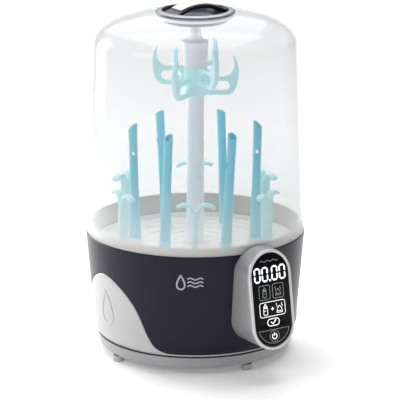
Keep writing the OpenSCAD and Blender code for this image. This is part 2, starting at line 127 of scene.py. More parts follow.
def rounded(points, radius, n=4, only=None):
    """A closed outline with its corners rounded, or only the ones listed."""
    out = []
    count = len(points)
    for i, here in enumerate(points):
        if only is not None and i not in only:
            out.append(tuple(here))
            continue
        p = Vector(here)
        a, b = Vector(points[i - 1]) - p, Vector(points[(i + 1) % count]) - p
        cut = min(radius, a.length * 0.45, b.length * 0.45)
        start, end = p + a.normalized() * cut, p + b.normalized() * cut
        for k in range(n + 1):
            t = k / n
            q = start * (1 - t) ** 2 + p * 2 * t * (1 - t) + end * t * t
            out.append((q.x, q.y))
    return out


def normals(points, closed):
    """Unit normals to the left of the way along the points."""
    count = len(points)
    out = []
    for i in range(count):
        if closed:
            a, b = points[i - 1], points[(i + 1) % count]
        else:
            a, b = points[max(i - 1, 0)], points[min(i + 1, count - 1)]
        d = Vector((b[0] - a[0], b[1] - a[1])).normalized()
        out.append((-d.y, d.x))
    return out


def beside(points, d, closed=False):
    """The points moved sideways by d, to the left of their way."""
    return [(p[0] + n[0] * d, p[1] + n[1] * d) for p, n in zip(points, normals(points, closed))]


def ribbon(points, w0, w1=None):
    """Closed outline of a stroke whose half width goes from w0 to w1, with round ends."""
    w1 = w0 if w1 is None else w1
    last = len(points) - 1
    left, right = [], []
    for i, (p, n) in enumerate(zip(points, normals(points, False))):
        w = w0 + (w1 - w0) * i / last
        left.append((p[0] + n[0] * w, p[1] + n[1] * w))
        right.append((p[0] - n[0] * w, p[1] - n[1] * w))
    caps = []
    for p, n, w, out in ((points[-1], normals(points, False)[-1], w1, 1),
                         (points[0], normals(points, False)[0], w0, -1)):
        base = math.degrees(math.atan2(n[1] * out, n[0] * out))
        caps.append(arc(p[0], p[1], w, base, base - 180, 6)[1:-1])
    return left + caps[0] + right[::-1] + caps[1]


def band(points, width):
    """A closed line of that width: its outer and inner outlines."""
    return [beside(points, width / 2, True), beside(points, -width / 2, True)]


def stadium(w, l, n=24):
    """A stadium standing on its end, centred on the origin."""
    half = (l - w) / 2
    return arc(0, half, w / 2, 0, 180, n) + arc(0, -half, w / 2, 180, 360, n)


def round_box(w, h, r, x=0, y=0):
    corners = ((w / 2 - r, h / 2 - r, 0), (r - w / 2, h / 2 - r, 90), (r - w / 2, r - h / 2, 180),
               (w / 2 - r, r - h / 2, 270))
    return [q for cx, cy, a in corners for q in arc(x + cx, y + cy, r, a, a + 90, 6)]


def moved(points, x, y, turn=0):
    c, s = math.cos(math.radians(turn)), math.sin(math.radians(turn))
    return [(x + c * p[0] - s * p[1], y + s * p[0] + c * p[1]) for p in points]


def body_r(z):
    """Outer radius of the base wall at height z."""
    if z >= FOOT_ARC_Z:
        return SEAM_R - BASE_DRAFT * (SEAM_Z - z)
    side = SEAM_R - BASE_DRAFT * (SEAM_Z - FOOT_ARC_Z)
    return side - FOOT_ARC_R * (1 - math.sqrt(max(0, 1 - ((FOOT_ARC_Z - z) / FOOT_ARC_R) ** 2)))


# ---- meshes ----

def link(name, mesh):
    obj = bpy.data.objects.new(name, mesh)
    bpy.context.scene.collection.objects.link(obj)
    return obj


def smooth(obj, angle=38):
    obj.data.shade_smooth()
    obj.data.set_sharp_from_angle(angle=math.radians(angle))
    return obj


def grid_mesh(name, rows, close_rows, close_cols):
    """A mesh from rows of points in millimetres, each row as long as the others."""
    count, width = len(rows), len(rows[0])
    verts = [tuple(c * MM for c in p) for row in rows for p in row]
    faces = []
    for i in range(count if close_rows else count - 1):
        for j in range(width if close_cols else width - 1):
            i2, j2 = (i + 1) % count, (j + 1) % width
            faces.append((i * width + j, i * width + j2, i2 * width + j2, i2 * width + j))
    mesh = bpy.data.meshes.new(name)
    mesh.from_pydata(verts, [], faces)
    return mend(link(name, mesh))


def mend(obj, fill=False):
    """Joins doubled points, drops faces without area, and turns all faces outwards."""
    bm = bmesh.new()
    bm.from_mesh(obj.data)
    bmesh.ops.remove_doubles(bm, verts=bm.verts, dist=1e-6)
    bmesh.ops.dissolve_degenerate(bm, edges=bm.edges, dist=1e-7)
    if fill:
        bmesh.ops.holes_fill(bm, edges=bm.edges)
    bmesh.ops.recalc_face_normals(bm, faces=bm.faces)
    bm.to_mesh(obj.data)
    bm.free()
    return smooth(obj)


def revolve(name, outline, steps=144):
    """A closed (radius, height) outline turned about the body axis."""
    rows = []
    for i in range(steps):
        a = 2 * math.pi * i / steps
        rows.append([(r * math.sin(a), -r * math.cos(a), z) for r, z in outline])
    return grid_mesh(name, rows, True, True)


def plate(name, loops, thick, bevel=0.0, rounds=3):
    """A flat piece from closed outlines, holes included, thick along +Z from 0, with rounded edges."""
    curve = bpy.data.curves.new(name, "CURVE")
    curve.dimensions = "2D"
    curve.fill_mode = "BOTH"
    curve.extrude = (thick / 2 - bevel) * MM
    curve.bevel_depth = bevel * MM
    curve.bevel_resolution = rounds
    curve.offset = -bevel * MM
    for loop in loops:
        spline = curve.splines.new("POLY")
        spline.points.add(len(loop) - 1)
        for point, (x, y) in zip(spline.points, loop):
            point.co = (x * MM, y * MM, 0, 1)
        spline.use_cyclic_u = True
    source = link(name + "_curve", curve)
    bpy.context.view_layer.update()
    mesh = bpy.data.meshes.new_from_object(source.evaluated_get(bpy.context.evaluated_depsgraph_get()))
    bpy.data.objects.remove(source)
    mesh.transform(Matrix.Translation((0, 0, thick / 2 * MM)))
    mesh.name = name
    return mend(link(name, mesh))


def join(name, objects):
    """One object from several."""
    bm = bmesh.new()
    for obj in objects:
        mesh = obj.data.copy()
        mesh.transform(obj.matrix_world)
        bm.from_mesh(mesh)
        bpy.data.meshes.remove(mesh)
        bpy.data.objects.remove(obj)
    mesh = bpy.data.meshes.new(name)
    bm.to_mesh(mesh)
    bm.free()
    return smooth(link(name, mesh))


def bake_modifiers(obj):
    bpy.context.view_layer.update()
    done = bpy.data.meshes.new_from_object(obj.evaluated_get(bpy.context.evaluated_depsgraph_get()))
    obj.modifiers.clear()
    obj.data = done
    return obj


def fuse(obj, voxel, passes=6):
    """Melts overlapping shapes into one moulded surface."""
    remesh = obj.modifiers.new("fuse", "REMESH")
    remesh.mode = "VOXEL"
    remesh.voxel_size = voxel * MM
    relax = obj.modifiers.new("relax", "SMOOTH")
    relax.iterations = passes
    relax.factor = 0.5
    return smooth(bake_modifiers(obj), 80)


def cut(obj, cutters, angle=38):
    tool = join("cutters", cutters)
    boolean = obj.modifiers.new("cut", "BOOLEAN")
    boolean.operation = "DIFFERENCE"
    boolean.solver = "EXACT"
    boolean.object = tool
    bake_modifiers(obj)
    bpy.data.objects.remove(tool)
    return smooth(obj, angle)


def shift(obj, matrix):
    """Moves an object's mesh; matrix is in millimetres."""
    m = matrix.copy()
    m.translation = m.translation * MM
    obj.data.transform(m)
    return obj


def rod_cutter(radius, length, matrix, sides=24):
    outline = arc(0, 0, radius, 0, 360, sides)[:-1]
    return shift(plate("cutter", [outline], length), matrix)


def bend_round(obj, azimuth, proud, step=3.0):
    """Lays a flat piece on the base wall: x goes round it, y is height, z stands proud of it."""
    bm = bmesh.new()
    bm.from_mesh(obj.data)
    xs = [v.co.x for v in bm.verts]
    x = math.floor(min(xs) / MM / step) * step
    while x < max(xs) / MM:
        geom = bm.verts[:] + bm.edges[:] + bm.faces[:]
        bmesh.ops.bisect_plane(bm, geom=geom, plane_co=(x * MM, 0, 0), plane_no=(1, 0, 0), dist=1e-7)
        x += step
    middle = sum(v.co.y for v in bm.verts) / len(bm.verts) / MM
    for v in bm.verts:
        u, z, w = v.co.x / MM, v.co.y / MM, v.co.z / MM
        a = math.radians(azimuth) + u / body_r(middle)
        r = body_r(z) + proud + w
        v.co = (r * math.sin(a) * MM, -r * math.cos(a) * MM, z * MM)
    bm.to_mesh(obj.data)
    bm.free()
    return mend(obj)


def around(a, radius=0, z=0):
    """Places x outwards, y along the way round, at azimuth a degrees from the panel towards +X."""
    t = math.radians(a - 90)
    turn = Matrix.Rotation(t, 4, "Z")
    return turn @ Matrix.Translation((radius, 0, z))


UPRIGHT = Matrix.Rotation(math.radians(90), 4, "X")     # a flat outline stands up in (x, z)
PANEL = (Matrix.Translation((0, -POD_REACH, POD_MID_Z))
         @ Matrix.Rotation(math.radians(90 - POD_TILT), 4, "X"))


# ---- materials ----

def grain(nt, scale, detail=3.0):
    coords = nt.nodes.new("ShaderNodeTexCoord")
    noise = nt.nodes.new("ShaderNodeTexNoise")
    noise.inputs["Scale"].default_value = scale
    noise.inputs["Detail"].default_value = detail
    nt.links.new(coords.outputs["Object"], noise.inputs["Vector"])
    return noise.outputs["Fac"]


def ramp(nt, source, low, high, start=0.0, end=1.0):
    node = nt.nodes.new("ShaderNodeMapRange")
    node.inputs["From Min"].default_value = start
    node.inputs["From Max"].default_value = end
    node.inputs["To Min"].default_value = low
    node.inputs["To Max"].default_value = high
    nt.links.new(source, node.inputs["Value"])
    return node.outputs["Result"]


def plastic(name, colour, rough=0.35, change=0.03, grain_scale=1800, bump=0.02, coat=0.0, metal=0.0,
            sub=0.0, glow=0.0, patch_scale=14, spec=0.5):
    """A moulded surface: slow colour changes, uneven gloss and a fine moulded grain."""
    mat = bpy.data.materials.new(name)
    mat.use_nodes = True
    nt = mat.node_tree
    shader = nt.nodes["Principled BSDF"]
    patches = grain(nt, patch_scale, 2.0)
    mix = nt.nodes.new("ShaderNodeMix")
    mix.data_type = "RGBA"
    mix.inputs["A"].default_value = (*[max(0, c * (1 - change)) for c in colour], 1)
    mix.inputs["B"].default_value = (*[min(1, c * (1 + change)) for c in colour], 1)
    nt.links.new(ramp(nt, patches, 0, 1, 0.3, 0.7), mix.inputs["Factor"])
    nt.links.new(mix.outputs["Result"], shader.inputs["Base Color"])
    fine = grain(nt, grain_scale, 4.0)
    nt.links.new(ramp(nt, fine, rough * 0.88, rough * 1.12), shader.inputs["Roughness"])
    relief = nt.nodes.new("ShaderNodeBump")
    relief.inputs["Strength"].default_value = bump
    relief.inputs["Distance"].default_value = 0.0004
    nt.links.new(fine, relief.inputs["Height"])
    nt.links.new(relief.outputs["Normal"], shader.inputs["Normal"])
    shader.inputs["Metallic"].default_value = metal
    shader.inputs["Specular IOR Level"].default_value = spec
    shader.inputs["Coat Weight"].default_value = coat
    shader.inputs["Coat Roughness"].default_value = 0.08
    shader.inputs["Subsurface Weight"].default_value = sub
    shader.inputs["Subsurface Radius"].default_value = (0.004, 0.004, 0.004)
    # glow is emission: on lit_white and lit_dim it is the display's backlight, on the floor an even lift, and
    # on the tray, column, posts, hooks, rods and cap core it is painted light.
    if glow:
        shader.inputs["Emission Color"].default_value = (*colour, 1)
        shader.inputs["Emission Strength"].default_value = glow
    return mat


def clear(name, low_colour, high_colour, low_haze, high_haze, rough, z_low, z_high, rim=0.7,
          top_colour=None):
    """Thin clear plastic: what is behind shows through a haze that changes with height."""
    mat = bpy.data.materials.new(name)
    mat.use_nodes = True
    nt = mat.node_tree
    shader = nt.nodes["Principled BSDF"]
    fine = grain(nt, 90, 3.0)
    nt.links.new(ramp(nt, fine, rough * 0.7, rough * 1.3), shader.inputs["Roughness"])
    coords = nt.nodes.new("ShaderNodeTexCoord")
    split = nt.nodes.new("ShaderNodeSeparateXYZ")
    nt.links.new(coords.outputs["Object"], split.inputs["Vector"])
    haze = ramp(nt, split.outputs["Z"], low_haze, high_haze, z_low * MM, z_high * MM)
    # The haze's colour is painted by height: whiter low down, darker grey higher up and lighter again at the
    # crown, as painted light and shade.
    painted_height_shade = nt.nodes.new("ShaderNodeValToRGB")
    painted_height_shade.color_ramp.elements[0].color = (*low_colour, 1)
    painted_height_shade.color_ramp.elements[1].color = (*(top_colour or high_colour), 1)
    for place in ((z_high - z_low) / (CROWN_Z - z_low), 0.84):
        painted_height_shade.color_ramp.elements.new(place).color = (*high_colour, 1)
    nt.links.new(ramp(nt, split.outputs["Z"], 0, 1, z_low * MM, CROWN_Z * MM), painted_height_shade.inputs["Fac"])
    nt.links.new(painted_height_shade.outputs["Color"], shader.inputs["Base Color"])
    edge = nt.nodes.new("ShaderNodeLayerWeight")
    edge.inputs["Blend"].default_value = 0.5
    steep = nt.nodes.new("ShaderNodeMath")
    steep.operation = "POWER"
    steep.inputs[1].default_value = 4.5
    nt.links.new(edge.outputs["Facing"], steep.inputs[0])
    add = nt.nodes.new("ShaderNodeMath")
    add.operation = "MULTIPLY_ADD"
    add.use_clamp = True
    nt.links.new(steep.outputs["Value"], add.inputs[0])
    add.inputs[1].default_value = rim
    nt.links.new(haze, add.inputs[2])
    through = nt.nodes.new("ShaderNodeBsdfTransparent")
    mix = nt.nodes.new("ShaderNodeMixShader")
    nt.links.new(add.outputs["Value"], mix.inputs["Fac"])
    nt.links.new(through.outputs["BSDF"], mix.inputs[1])
    nt.links.new(shader.outputs["BSDF"], mix.inputs[2])
    nt.links.new(mix.outputs["Shader"], nt.nodes["Material Output"].inputs["Surface"])
    return mat


MATERIALS = {
    "dark_shell": plastic("navy_plastic", (0.012, 0.0105, 0.024), rough=0.32, change=0.12, bump=0.03,
                          spec=0.18),
    "cream_plastic": plastic("cream_plastic", (0.60, 0.55, 0.49), rough=0.4),
    "white_plastic": plastic("white_plastic", (0.50, 0.50, 0.505), rough=0.3, change=0.015),
    # painted light: the tray's glow lifts it, though it is no lamp
    "tray_plastic": plastic("tray_plastic", (0.86, 0.84, 0.80), rough=0.35, change=0.015, glow=0.08),
    # The pan is white plastic; this darker grey is painted shade for the shadow under the base.
    "painted_shade_pan": plastic("painted_shade_pan", (0.38, 0.38, 0.39), rough=0.4, change=0.03),
    "screw_steel": plastic("zinc_steel", (0.55, 0.55, 0.57), rough=0.35, metal=1.0, grain_scale=4000),
    "plate_steel": plastic("brushed_steel", (0.58, 0.58, 0.6), rough=0.3, metal=1.0, grain_scale=2500,
                           bump=0.06),
    "seal_rubber": plastic("silicone", (0.5, 0.12, 0.06), rough=0.6),
    "black_plastic": plastic("black_plastic", (0.012, 0.012, 0.013), rough=0.42, change=0.15),
    "ceramic": plastic("fuse_sleeve", (0.7, 0.66, 0.56), rough=0.7),
    "grey_plastic": plastic("grey_plastic", (0.6, 0.6, 0.61), rough=0.4),
    "motor_metal": plastic("motor_can", (0.4, 0.4, 0.42), rough=0.32, metal=1.0),
    "board": plastic("circuit_board", (0.02, 0.13, 0.05), rough=0.4, change=0.2, grain_scale=600),
    "filter_foam": plastic("filter_foam", (0.04, 0.042, 0.05), rough=0.95, change=0.3, grain_scale=700,
                           bump=0.6),
    "silver_plastic": plastic("silver_paint", (0.41, 0.40, 0.415), rough=0.3, change=0.03, grain_scale=5000,
                              metal=0.45),
    "bezel_plastic": plastic("bezel_paint", (0.74, 0.74, 0.75), rough=0.26, change=0.02, grain_scale=5000,
                             metal=0.2),
    "black_gloss": plastic("black_window", (0.003, 0.003, 0.004), rough=0.12, change=0.2, bump=0.0,
                           spec=0.12),
    # The dome's haze colour is painted whiter low down and darker up high: painted light and shade by height.
    "clear_dome": clear("clear_dome", (0.88, 0.89, 0.90), (0.39, 0.40, 0.42), 0.32, 0.17, 0.07, 150, 240,
                        rim=0.36, top_colour=(0.50, 0.52, 0.54)),
    # painted light: the column's glow lifts it, though it is no lamp
    "column_plastic": plastic("column_plastic", (0.80, 0.83, 0.88), rough=0.35, sub=0.15, glow=0.2),
    "clear_cap": clear("clear_cap", (0.86, 0.90, 0.95), (0.86, 0.90, 0.95), 0.45, 0.3, 0.15, 366, 386),
    # painted light: the glow on the posts and the hooks lifts them, though they are no lamps
    "mint_plastic": plastic("mint_plastic", (0.54, 0.90, 0.93), rough=0.32, sub=0.15, glow=0.1),
    "hook_plastic": plastic("hook_plastic", (0.62, 0.93, 0.96), rough=0.32, sub=0.15, glow=0.15),
    "ring_silver": plastic("ring_silver", (0.22, 0.23, 0.26), rough=0.3, change=0.03, grain_scale=5000,
                           metal=0.5),
    # painted light: the glow on the cap's core and the lock ring lifts them, though they are no lamps
    "pale_plastic": plastic("pale_plastic", (0.88, 0.89, 0.90), rough=0.4, change=0.015, glow=0.2),
    # painted light: the rods' glow lifts them, though they are no lamps
    "blue_plastic": plastic("blue_plastic", (0.17, 0.66, 0.82), rough=0.3, sub=0.1, glow=0.1),
    "recess_blue": plastic("recess_blue", (0.04, 0.062, 0.095), rough=0.35, change=0.1),
    # painted shadow: near-black for the strips in the casing's gap and groove
    "painted_gap_shadow": plastic("shadow_gap", (0.004, 0.004, 0.005), rough=0.8),
    "lavender_print": plastic("lavender_print", (0.42, 0.40, 0.50), rough=0.4),
    "glow_bright": plastic("lit_white", (0.95, 0.97, 1.0), rough=0.5, glow=0.75),
    "glow_dim": plastic("lit_dim", (0.30, 0.32, 0.34), rough=0.5, glow=0.2),
}


def finish_piece(obj, body, slot, material=None, replaces=()):
    """Gives a piece its material and its body, and hides the CAD nodes that it stands for."""
    obj.data.materials.clear()
    obj.data.materials.append(MATERIALS[material or slot])
    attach(obj, body)
    if replaces:
        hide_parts(*replaces)
    return obj


# ---- camera, light and floor ----

def make_stage():
    azimuth, reach, height, pitch = math.radians(-33.5), 2.790, 0.935, 15.3
    data = bpy.data.cameras.new("camera")
    data.sensor_width = 36
    data.lens = 222.66
    data.shift_x, data.shift_y = 0.0118, 0.0118
    data.clip_end = 50
    camera = bpy.data.objects.new("camera", data)
    camera.location = (reach * math.sin(azimuth), -reach * math.cos(azimuth), height)
    camera.rotation_euler = (math.radians(90 - pitch), 0, azimuth)
    bpy.context.scene.collection.objects.link(camera)
    bpy.context.scene.camera = camera

    world = bpy.data.worlds.new("studio")
    world.use_nodes = True
    world.node_tree.nodes["Background"].inputs["Color"].default_value = (1, 1, 1, 1)
    world.node_tree.nodes["Background"].inputs["Strength"].default_value = 0.3
    bpy.context.scene.world = world
    bpy.context.scene.view_settings.view_transform = "Standard"

    def lamp(name, place, aim, size, power, size_y=None):
        light = bpy.data.lights.new(name, "AREA")
        light.shape = "RECTANGLE"
        light.size, light.size_y = size, size_y or size
        light.energy = power
        obj = bpy.data.objects.new(name, light)
        obj.location = place
        obj.rotation_euler = (Vector(aim) - Vector(place)).to_track_quat("-Z", "Y").to_euler()
        bpy.context.scene.collection.objects.link(obj)

    lamp("softbox_top", (0.3, 0.5, 2.2), (-0.05, 0.0, 0), 2.0, 50)
    lamp("softbox_left", (-0.40, 1.02, 0.47), (0, 0, 0.3), 0.45, 9.5, 0.85)
    lamp("softbox_front", (-2.2, 0.2, 1.4), (0, 0, 0.1), 1.0, 17)
    lamp("softbox_far", (1.5, 3.0, 2.4), (1.0, 2.0, 0), 3.0, 55)

    floor = grid_mesh("floor", [[(x, y, 0) for x in (-9000, 9000)] for y in (-9000, 9000)], False, False)
    floor.data.materials.append(plastic("white_floor", (0.93, 0.93, 0.93), rough=0.9, change=0.002,
                                        bump=0.0, spec=0.0, glow=0.18))


# ---- base ----

def base_shell():
    lower = [(body_r(z), z) for z in (22.2, 23, 24.5, 26.5, 29, 32, 35, FOOT_ARC_Z)]
    side = [(body_r(z), z) for z in (60, 90, 120, SEAM_Z - 1)]
    rim = [(SEAM_R - 1, SEAM_Z), (SEAM_R - 3.4, SEAM_Z), (SEAM_R - 3.6, SEAM_Z - 5)]
    inner = [(body_r(z) - WALL, z) for z in (138, 90, 45, 30, 22.6)]
    shell = revolve("navy_shell", lower + side + rim + inner, 192)
    holes = []
    for w, h, z in ((24, 15, 44), (56, 30, 73)):
        block = plate("cutter", [round_box(w, h, 2)], 100)
        holes.append(shift(block, Matrix.Translation((0, 170, z)) @ UPRIGHT))
    cut(shell, holes)
    finish_piece(shell, "base", "dark_shell", replaces=["base_shell"])


WING = (cubic([(0, 109), (18, 109), (41, 92), (50, 71)], 24)
        + cubic([(50, 71), (58, 52.5), (62, 26.1), (78, 24.6)], 24)[1:])
WING_PROUD = 1.2


def wing_top(y):
    """Height of the lower casing's upper edge, y from the middle of a wing."""
    y = abs(y)
    for (a, za), (b, zb) in zip(WING, WING[1:]):
        if a <= y <= b:
            return za + (zb - za) * (y - a) / (b - a)
    return WING[-1][1]


def casing_edge(steps=720):
    """Angle and height of the casing's upper edge, all the way round."""
    edge = []
    for i in range(steps):
        a = 2 * math.pi * i / steps
        z = 60.0
        for _ in range(6):
            z = 0.5 * z + 0.5 * wing_top(body_r(z) * math.cos(a))
        edge.append((a, z))
    return edge


def lower_casing():
    """The white casing: a low band all round that rises into a wing on each side."""
    edge = casing_edge()
    low = 22.4
    rows = []
    for i, (a, top) in enumerate(edge):
        rise = (edge[(i + 1) % len(edge)][1] - edge[i - 1][1]) / 2
        run = 2 * math.pi / len(edge) * body_r(top)
        lean = math.sqrt(1 + (rise / run) ** 2)
        soft = min(1.1 * lean, (top - low) * 0.5)
        section = [(low, 0.2), (low, WING_PROUD - 0.3), (low + 0.3, WING_PROUD)]
        section += [(low + 0.3 + (top - soft - low - 0.3) * k / 14, WING_PROUD) for k in range(1, 15)]
        section += [(top - soft + soft * math.sin(math.radians(t)),
                     0.15 + (WING_PROUD - 0.15) * math.cos(math.radians(t)))
                    for t in (22, 45, 68, 90)]
        section += [(top - 0.6, 0.05), (low + 0.2, 0.05)]
        rows.append([((body_r(z) + d) * math.sin(a), -(body_r(z) + d) * math.cos(a), z)
                     for z, d in section])
    casing = grid_mesh("white_casing", rows, True, True)
    finish_piece(casing, "base", "white_plastic", replaces=["lower_casing"])
    # A near-black strip along the casing's upper edge: painted shadow for the gap between the casing and the
    # navy shell.
    shadow = []
    for a, top in edge:
        line = [((body_r(z) + 0.06) * math.sin(a), -(body_r(z) + 0.06) * math.cos(a), z)
                for z in (top - 0.8, top + 0.35)]
        back = [((body_r(z) - 0.3) * math.sin(a), -(body_r(z) - 0.3) * math.cos(a), z)
                for z in (top + 0.35, top - 0.8)]
        shadow.append(line + back)
    gap = grid_mesh("casing_gap_shadow", shadow, True, True)
    finish_piece(gap, "base", "black_plastic", "painted_gap_shadow")


def wing_gap_width():
    """A wider near-black strip along each wing's flanks, square to the edge: painted shadow of the groove
    there.
    """
    edge = casing_edge()
    rows = []
    for i, (a, z) in enumerate(edge):
        before, after = edge[i - 1], edge[(i + 1) % len(edge)]
        r = body_r(z)
        du = (((after[0] - before[0] + math.pi) % (2 * math.pi)) - math.pi) * r
        dz = after[1] - before[1]
        length = math.hypot(du, dz)
        nu, nz = -dz / length, du / length
        row = []
        for d, proud in ((-0.5, 0.02), (0.75, 0.02), (0.75, -0.3), (-0.5, -0.3)):
            aa, zz = a + nu * d / r, z + nz * d
            row.append(((body_r(zz) + 0.06 + proud) * math.sin(aa),
                        -(body_r(zz) + 0.06 + proud) * math.cos(aa), zz))
        rows.append(row)
    groove = grid_mesh("casing_groove_shadow", rows, True, True)
    finish_piece(groove, "base", "black_plastic", "painted_gap_shadow")


def base_pan():
    foot_z = bottom_of("base_pan")
    outline = [(2, foot_z), (106, foot_z)] + cubic([(108, foot_z), (113, foot_z + 0.6), (PAN_R, 12),
                                                    (PAN_R, PAN_TOP)], 10)
    outline += [(PAN_R - WALL, PAN_TOP), (PAN_R - WALL, 14), (107, foot_z + WALL), (2, foot_z + WALL)]
    pan = revolve("base_pan_skin", outline, 144)
    ribs = [revolve("pan_rib", rounded([(r, foot_z + 0.2), (r, foot_z - 0.8), (r + 2.5, foot_z - 0.8),
                                        (r + 2.5, foot_z + 0.2)],
                                       0.5), 96) for r in (38, 60, 82)]
    # The pan's white plastic takes a darker grey look: painted shade under the base.
    finish_piece(join("base_pan_visual", [pan] + ribs), "base", "white_plastic", "painted_shade_pan",
                 replaces=["base_pan"])


def feet():
    for i in range(1, 5):
        lo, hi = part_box(f"foot_{i}")
        r = (hi.x - lo.x) / 2 / MM
        outline = [(0.01, 0), (r - 1.4, 0)] + arc(r - 1.4, 1.4, 1.4, -90, 0, 5)
        outline += [(r, FOOT_H), (0.01, FOOT_H)]
        foot = revolve(f"round_foot_{i}", outline, 48)
        shift(foot, Matrix.Translation(((lo.x + hi.x) / 2 / MM, (lo.y + hi.y) / 2 / MM, 0)))
        finish_piece(foot, "base", "white_plastic", replaces=[f"foot_{i}"])


def collar():
    """Cream wall that the dome fits over, the ledge for the tray and the basin's floor."""
    r, top, floor_z = COLLAR_R, COLLAR_TOP, 96
    low_r = body_r(floor_z) - WALL - 0.3
    outline = [(58, floor_z + WALL), (58, floor_z), (low_r, floor_z), (r, 119.5), (r, top - 1.5)]
    outline += arc(r - 1.5, top - 1.5, 1.5, 0, 180, 8)
    outline += [(r - 3, TRAY_Z - 4.5), (114, TRAY_Z - 4.5), (114, TRAY_Z - 7.2), (r - 3.1, TRAY_Z - 7.2),
                (low_r - 3, floor_z + WALL)]
    finish_piece(revolve("cream_collar", outline, 192), "base", "cream_plastic", replaces=["collar_basin"])


# ---- marks ----

def drop_outline(h, n=40):
    """A plain water drop, its tip up, centred on the origin."""
    pts = []
    for i in range(n):
        t = 2 * math.pi * i / n
        pts.append((0.36 * h * math.sin(t) * math.sin(t / 2) ** 1.2, h * 0.5 * math.cos(t)))
    return pts


def wave(width, height, cycles, n=40):
    return [(width * (i / n - 0.5), height * math.sin(2 * math.pi * cycles * i / n)) for i in range(n + 1)]


def marks():
    """A water drop with three waves on the shell, and a raised drop on each wing."""
    loops = [moved(q, -11, 0) for q in band(drop_outline(17), 1.9)]
    loops += [moved(ribbon(wave(17, 1.0, 1.5), 0.75), 5.5, y) for y in (-4.4, 0, 4.4)]
    mark = plate("shell_mark", [moved(q, 0, 115) for q in loops], 0.2)
    finish_piece(bend_round(mark, -36, 0.02), "base", "dark_shell", "lavender_print")
    for side in (-1, 1):
        raised = plate("wing_mark", [moved(q, 0, 68) for q in band(drop_outline(40), 4.2)], 0.9, 0.35)
        raised.name = "wing_mark_left" if side < 0 else "wing_mark_right"
        finish_piece(bend_round(raised, 90 * side, WING_PROUD - 0.3), "base", "white_plastic")


# ---- control panel ----

POD_H = BEZEL_LEN * math.cos(math.radians(POD_TILT))


def on_face(z_rel, depth):
    """Y of the panel's leaning face at height z_rel from its centre, depth behind it."""
    return -POD_REACH + z_rel * math.tan(math.radians(POD_TILT)) + depth


def pod_housing():
    front = [(0.0, 6.0), (0.0, 4.0), (0.0, 2.6), (-0.15, 1.6), (-0.6, 0.7), (-1.3, 0.25), (-2.4, 0.2)]
    rows = []
    for inset, depth in front[::-1]:
        loop = stadium(BEZEL_W + 2 * inset, POD_H + 2 * inset, 36)
        rows.append([(x, on_face(z, depth), POD_MID_Z + z) for x, z in loop])
    loop = stadium(BEZEL_W, POD_H, 36)
    for k in range(1, 9):
        row = []
        for x, z in loop:
            zz = POD_MID_Z + z
            stop = body_r(min(zz, SEAM_Z)) - 0.8 if zz < SEAM_Z - 0.5 else SEAM_R + 1.0
            back = -math.sqrt(stop ** 2 - x ** 2)
            start = on_face(z, 6.0)
            row.append((x, start + (back - start) * k / 8, zz))
        rows.append(row)
    inner = stadium(BEZEL_W - 2 * WALL, POD_H - 2 * WALL, 36)
    for k in (8, 4, 0):
        row = []
        for (x, z), (ox, oz) in zip(inner, loop):
            zz = POD_MID_Z + z
            stop = body_r(min(zz, SEAM_Z)) - 0.8 if POD_MID_Z + oz < SEAM_Z - 0.5 else SEAM_R + 1.0
            back, start = -math.sqrt(stop ** 2 - ox ** 2), on_face(z, 3.5)
            row.append((x, start + (back - start) * k / 8, zz))
        rows.append(row)
    finish_piece(grid_mesh("panel_housing", rows, True, True), "base", "silver_plastic",
                 replaces=["pod_housing"])


def pod_bezel():
    width = (BEZEL_W - WINDOW_W) / 2
    section = [(-width, -3.0), (-width, -0.4), (-width + 0.25, 0.05), (-width + 0.8, 0.3), (-2.0, 0.42),
               (-1.2, 0.2), (-0.6, -0.25),
               (-0.35, -0.9), (-0.35, -3.0)]
    rows = []
    for d, h in section:
        rows.append([(x, y, h) for x, y in stadium(BEZEL_W + 2 * d, BEZEL_LEN + 2 * d, 36)])
    ring = shift(grid_mesh("silver_bezel", rows, True, True), PANEL)
    finish_piece(ring, "base", "bezel_plastic", replaces=["pod_bezel"])


OK_Y, OK_W, OK_H = -25.6, 17.0, 9.2
POWER_TOP, POWER_R, POWER_LOW = -33.6, 22.25, -27.9
POWER_ICON_Y = -41.5


def power_outline(grow):
    r = POWER_R + grow
    a = math.degrees(math.asin((POWER_TOP + grow - POWER_LOW) / r))
    loop = arc(0, POWER_LOW, r, a, -180 - a, 40)
    return rounded(loop, 2.4, 5, only=[0, len(loop) - 1])


def panel_plate(name, loops, top, thick, bevel=0.0):
    """A flat piece of the panel whose upper face is at that height of the panel's frame."""
    return shift(plate(name, loops, thick, bevel), PANEL @ Matrix.Translation((0, 0, top - thick)))


def window_and_keys():
    key_gap = 0.35
    pill = [moved(q, 0, OK_Y) for q in (round_box(OK_W + 2 * key_gap, OK_H + 2 * key_gap, 4.9),
                                        round_box(OK_W, OK_H, 4.55))]
    loops = [stadium(WINDOW_W - 0.3, WINDOW_LEN - 0.3, 36), pill[0], power_outline(key_gap)]
    window = panel_plate("black_window", loops, WINDOW_TOP, 2.0, 0.15)
    finish_piece(window, "base", "black_gloss", replaces=["display_window"])
    ok = panel_plate("ok_key_cap", [pill[1]], WINDOW_TOP, 4.4, 0.25)
    finish_piece(ok, "ok_key", "black_gloss", replaces=["ok_button"])
    power = panel_plate("power_key_cap", [power_outline(0)], WINDOW_TOP, 4.4, 0.25)
    finish_piece(power, "power_key", "black_gloss", replaces=["power_button"])


